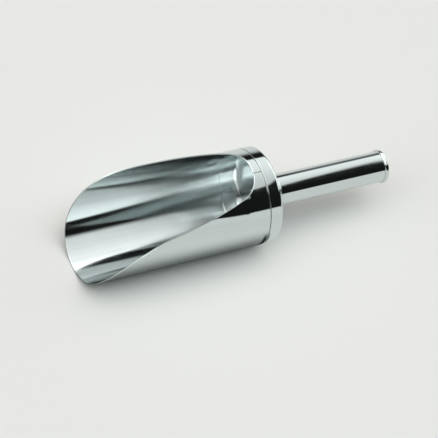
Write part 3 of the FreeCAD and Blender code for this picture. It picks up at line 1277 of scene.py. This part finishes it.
@dataclass(frozen=True)
class StudioFloor:
    """Pale matt floor, with a painted shade that only reflections in the steel show, darker close
    to the body. Its sizes are in metres.

    The painted shade goes by the distance from the scoop's middle line, on both sides, and ends at
    a line near the joint that leans back with that distance. It ends softly on the far side. On
    the near side it ends crisply, after a narrow painted strip of shade that is darker still.
    """

    size: float = 8.0
    colour: str = "EDEEEC"
    roughness: float = 0.85
    specular: float = 0.2
    # Painted shade that only the steel sees, as a level by distance from the middle line, and where
    # that shade ends.
    painted_mirror_shade: Profile = (
        (0.0, 0.3),
        (0.026, 0.32),
        (0.036, 0.36),
        (0.042, 0.44),
        (0.049, 0.58),
        (0.059, 0.76),
        (0.072, 0.92),
        (0.09, 1.0),
    )
    shade_end: float = 0.0115
    shade_lean: float = 0.3
    near_blur: float = 0.002
    far_blur: float = 0.06
    side_blend: float = 0.01
    # The painted strip of darker shade, along the scoop, and the distances from the middle over
    # which it fades.
    strip_width: float = 0.0042
    strip_blur: float = 0.001
    strip_reach: Pair = (0.042, 0.066)
    strip_depth: float = 0.92

    def _painted_mirror_level(self, tree: bpy.types.NodeTree) -> bpy.types.NodeSocket:
        """Add the painted shade: how pale the steel sees the floor.

        Args:
            tree: Node tree of the floor's material.

        Returns:
            The level's socket, 1 where the floor is as the camera sees it.
        """
        place = add_node(tree, "ShaderNodeTexCoord").outputs["Object"]
        parts = add_node(tree, "ShaderNodeSeparateXYZ", inputs={"Vector": place})
        aside = add_maths(tree, "ABSOLUTE", parts.outputs["Y"])
        lean = add_maths(tree, "MULTIPLY", aside, self.shade_lean)
        behind = add_maths(tree, "SUBTRACT", parts.outputs["X"], lean)
        middle = (-self.side_blend, self.side_blend)
        blur = add_step(tree, parts.outputs["Y"], *middle, self.near_blur, self.far_blur)
        blur_end = add_maths(tree, "ADD", blur, self.shade_end)
        clear = add_step(tree, behind, self.shade_end, blur_end)
        near_side = add_step(tree, parts.outputs["Y"], *middle, 1.0, 0.0)
        # Painted shade: a narrow strip on the near side, just before the shade ends, darkens the
        # floor further as the steel sees it.
        start = self.shade_end - self.strip_width
        strip = add_step(tree, behind, start, start + self.strip_blur, 0.0, near_side)
        close = add_step(tree, aside, *self.strip_reach, self.strip_depth, 0.0)
        painted_strip_shade = add_maths(tree, "SUBTRACT", 1.0, add_maths(tree, "MULTIPLY", strip, close))
        shade = add_profile(tree, aside, self.painted_mirror_shade)
        return add_maths(tree, "MAXIMUM", add_maths(tree, "MULTIPLY", shade, painted_strip_shade), clear)

    def build(self) -> None:
        """Lay the floor under the scoop."""
        deselect_everything()
        bpy.ops.mesh.primitive_plane_add(size=self.size)
        floor = bpy.context.object
        floor.name = floor.data.name = "studio_floor"
        material, shader = new_material("matte_paper_floor")
        tree = material.node_tree
        # Painted shade: reflections in the steel see the floor's colour darkened near the body,
        # while the camera and matt surfaces see it plain.
        mirrored = add_node(tree, "ShaderNodeLightPath").outputs["Is Glossy Ray"]
        direct = add_maths(tree, "SUBTRACT", 1.0, mirrored)
        level = add_maths(tree, "MAXIMUM", self._painted_mirror_level(tree), direct)
        own = {"Vector": linear(self.colour)[:3], "Scale": level}
        shaded = add_node(tree, "ShaderNodeVectorMath", {"operation": "SCALE"}, own)
        look = {
            "Base Color": shaded.outputs["Vector"],
            "Roughness": self.roughness,
            "Specular IOR Level": self.specular,
        }
        set_inputs(tree, shader, look)
        floor.data.materials.append(material)


@dataclass(frozen=True)
class StudioLight:
    """World around the scoop. Reflections see a wide light overhead and two low pale walls.

    A direction's turn is its angle in degrees from straight up, about the scoop's axis and
    positive towards the near side. Its lean is how far it points along the axis, from -1 to 1.
    The outside mirrors leans from about 0.4 to 0.5, so profiles on the lean can give the bowl,
    which mirrors the others, a light of its own.
    """

    light_colour: str = "F2F4F3"
    least_light: float = 0.012
    # Near edge of the overhead light and how soft it is, both in turn by lean, and its far edge.
    near_edge: Profile = (
        (0.2, 38.0),
        (0.39, 38.0),
        (0.4215, 22.0),
        (0.4275, 20.0),
        (0.44, 8.0),
        (0.456, 2.0),
        (0.48, -4.0),
        (0.51, 38.0),
    )
    near_blur: Profile = (
        (0.2, 8.0),
        (0.4, 4.0),
        (0.42, 2.0),
        (0.43, 3.0),
        (0.48, 16.0),
        (0.51, 8.0),
    )
    far_edge: Pair = (-58.0, -53.0)
    # Level of the overhead light by turn, as the outside sees it and as the bowl does, and the
    # share of the bowl's level by lean.
    overhead_levels: Profile = (
        (-46.0, 1.3),
        (-28.0, 1.25),
        (-12.0, 1.12),
        (0.0, 0.97),
        (14.0, 0.86),
        (60.0, 0.8),
    )
    bowl_levels: Profile = (
        (-60.0, 2.8),
        (-46.0, 2.75),
        (-34.0, 2.15),
        (-28.0, 1.9),
        (-22.0, 1.6),
        (-12.0, 1.57),
        (0.0, 1.41),
        (14.0, 1.25),
        (60.0, 1.16),
    )
    bowl_share: Profile = ((0.39, 1.0), (0.415, 0.0), (0.48, 0.0), (0.51, 1.0))
    # What the depth of the bowl sees out over the lip is stronger.
    lip_lean: Profile = ((-0.62, 0.0), (-0.54, 1.0), (-0.28, 1.0), (-0.16, 0.0))
    lip_turn: Profile = ((-46.0, 0.0), (-40.0, 1.0), (22.0, 1.0), (30.0, 0.0))
    lip_gain: float = 2.6
    # The near wall starts at a turn that goes by lean, and the far wall between two turns. The
    # dark gap above the far wall keeps a faint light at some leans.
    wall_edge: Profile = (
        (0.41, 73.3),
        (0.4434, 73.4),
        (0.4924, 74.5),
        (0.51, 75.4),
        (0.52, 76.8),
        (0.5315, 78.0),
        (0.5432, 76.7),
    )
    wall_blur: float = 3.0
    near_wall_level: float = 0.9
    far_wall_edge: Pair = (-88.0, -70.0)
    far_wall_level: float = 0.8
    far_gap: Profile = ((0.43, 0.0), (0.445, 0.16), (0.48, 0.16), (0.5, 0.0))
    # Matt surfaces are lit by a plain sky, whose tint changes between two turns.
    sky_levels: Profile = (
        (-90.0, 0.10),
        (-60.0, 0.15),
        (-32.0, 0.36),
        (-22.0, 1.02),
        (-10.0, 1.83),
        (0.0, 2.29),
        (10.0, 2.24),
        (20.0, 2.34),
        (28.0, 2.29),
        (33.0, 0.92),
        (40.0, 0.31),
        (50.0, 0.15),
        (90.0, 0.10),
    )
    far_sky: str = "F8EFED"
    near_sky: str = "E6EFEE"
    tint_turn: Pair = (-15.0, 25.0)
    backdrop_colour: str = "E7E8E5"

    def _overhead(
        self, tree: bpy.types.NodeTree, turn: bpy.types.NodeSocket, lean: bpy.types.NodeSocket
    ) -> bpy.types.NodeSocket:
        """Add the light overhead, between its two edges.

        Args:
            tree: Node tree of the world.
            turn: Socket of the direction's turn.
            lean: Socket of its lean.

        Returns:
            The strength's socket.
        """
        edge = add_profile(tree, lean, self.near_edge)
        blur = add_profile(tree, lean, self.near_blur)
        blur_start = add_maths(tree, "SUBTRACT", edge, blur)
        blur_end = add_maths(tree, "ADD", edge, blur)
        near_end = add_step(tree, turn, blur_start, blur_end, 1.0, 0.0)
        far_end = add_step(tree, turn, *self.far_edge)
        around = add_profile(tree, turn, self.overhead_levels)
        inside = add_profile(tree, turn, self.bowl_levels)
        by_lean = add_profile(tree, lean, self.lip_lean)
        over_lip = add_maths(tree, "MULTIPLY", by_lean, add_profile(tree, turn, self.lip_turn))
        gain = add_maths(tree, "MULTIPLY_ADD", over_lip, self.lip_gain, 1.0)
        inside = add_maths(tree, "MULTIPLY", inside, gain)
        level = add_mix(tree, add_profile(tree, lean, self.bowl_share), around, inside)
        return add_maths(tree, "MULTIPLY", level, add_maths(tree, "MULTIPLY", near_end, far_end))

    def _walls(
        self, tree: bpy.types.NodeTree, turn: bpy.types.NodeSocket, lean: bpy.types.NodeSocket
    ) -> bpy.types.NodeSocket:
        """Add the two low pale walls and the faint light above the far one.

        Args:
            tree: Node tree of the world.
            turn: Socket of the direction's turn.
            lean: Socket of its lean.

        Returns:
            The strength's socket.
        """
        low_edge = add_profile(tree, lean, self.wall_edge)
        past_edge = add_maths(tree, "SUBTRACT", turn, low_edge)
        near_wall = add_step(tree, past_edge, 0.0, self.wall_blur, 0.0, self.near_wall_level)
        under_light = add_step(tree, turn, *self.far_edge, 1.0, 0.0)
        gap = add_maths(tree, "MULTIPLY", add_profile(tree, lean, self.far_gap), under_light)
        far_wall = add_step(tree, turn, *self.far_wall_edge, self.far_wall_level, gap)
        return add_maths(tree, "ADD", near_wall, far_wall)

    def _plain_sky(
        self, tree: bpy.types.NodeTree, turn: bpy.types.NodeSocket, camera_ray: bpy.types.NodeSocket
    ) -> bpy.types.Node:
        """Add the sky that lights matt surfaces, with a plain backdrop for the camera.

        Args:
            tree: Node tree of the world.
            turn: Socket of the direction's turn.
            camera_ray: Socket that is 1 for what the camera itself sees.

        Returns:
            The sky's background node.
        """
        strength = add_mix(tree, camera_ray, add_profile(tree, turn, self.sky_levels), 1.0)
        near_share = add_step(tree, turn, *self.tint_turn)
        sky = add_tint(tree, near_share, linear(self.far_sky), linear(self.near_sky))
        colour = add_tint(tree, camera_ray, sky, linear(self.backdrop_colour))
        seen = {"Color": colour, "Strength": strength}
        return add_node(tree, "ShaderNodeBackground", inputs=seen)

    def build(self) -> None:
        """Surround the scoop with its light."""
        world = bpy.data.worlds.new("studio")
        bpy.context.scene.world = world
        world.use_nodes = True
        tree = world.node_tree
        tree.nodes.clear()
        direction = add_node(tree, "ShaderNodeTexCoord").outputs["Generated"]
        parts = add_node(tree, "ShaderNodeSeparateXYZ", inputs={"Vector": direction})
        nearwards = add_maths(tree, "MULTIPLY", parts.outputs["Y"], -1.0)
        angle = add_maths(tree, "ARCTAN2", nearwards, parts.outputs["Z"])
        turn = add_maths(tree, "DEGREES", angle)
        lean = parts.outputs["X"]
        walls = self._walls(tree, turn, lean)
        lit = add_maths(tree, "ADD", self._overhead(tree, turn, lean), walls)
        strength = add_maths(tree, "ADD", lit, self.least_light)
        light = {"Color": linear(self.light_colour), "Strength": strength}
        mirrored = add_node(tree, "ShaderNodeBackground", inputs=light)
        rays = add_node(tree, "ShaderNodeLightPath")
        plain = self._plain_sky(tree, turn, rays.outputs["Is Camera Ray"])
        both = {0: rays.outputs["Is Glossy Ray"], 1: plain.outputs[0], 2: mirrored.outputs[0]}
        mixed = add_node(tree, "ShaderNodeMixShader", inputs=both)
        add_node(tree, "ShaderNodeOutputWorld", inputs={"Surface": mixed.outputs[0]})


@dataclass(frozen=True)
class Studio:
    """Everything around the scoop."""

    camera: StudioCamera = StudioCamera()
    floor: StudioFloor = StudioFloor()
    light: StudioLight = StudioLight()

    def build(self) -> None:
        """Set up the camera, the floor and the light, shown at the plain view transform."""
        self.camera.build()
        self.floor.build()
        self.light.build()
        bpy.context.scene.view_settings.view_transform = "Standard"


def main() -> None:
    """Build every piece in order."""
    logging.basicConfig(level=logging.INFO)
    Studio().build()
    BodySheet().build()
    SeamLine().build()
    EndCap().build()
    Handle().build()
    dress_carried_nodes()


if __name__ == "__main__":
    main()
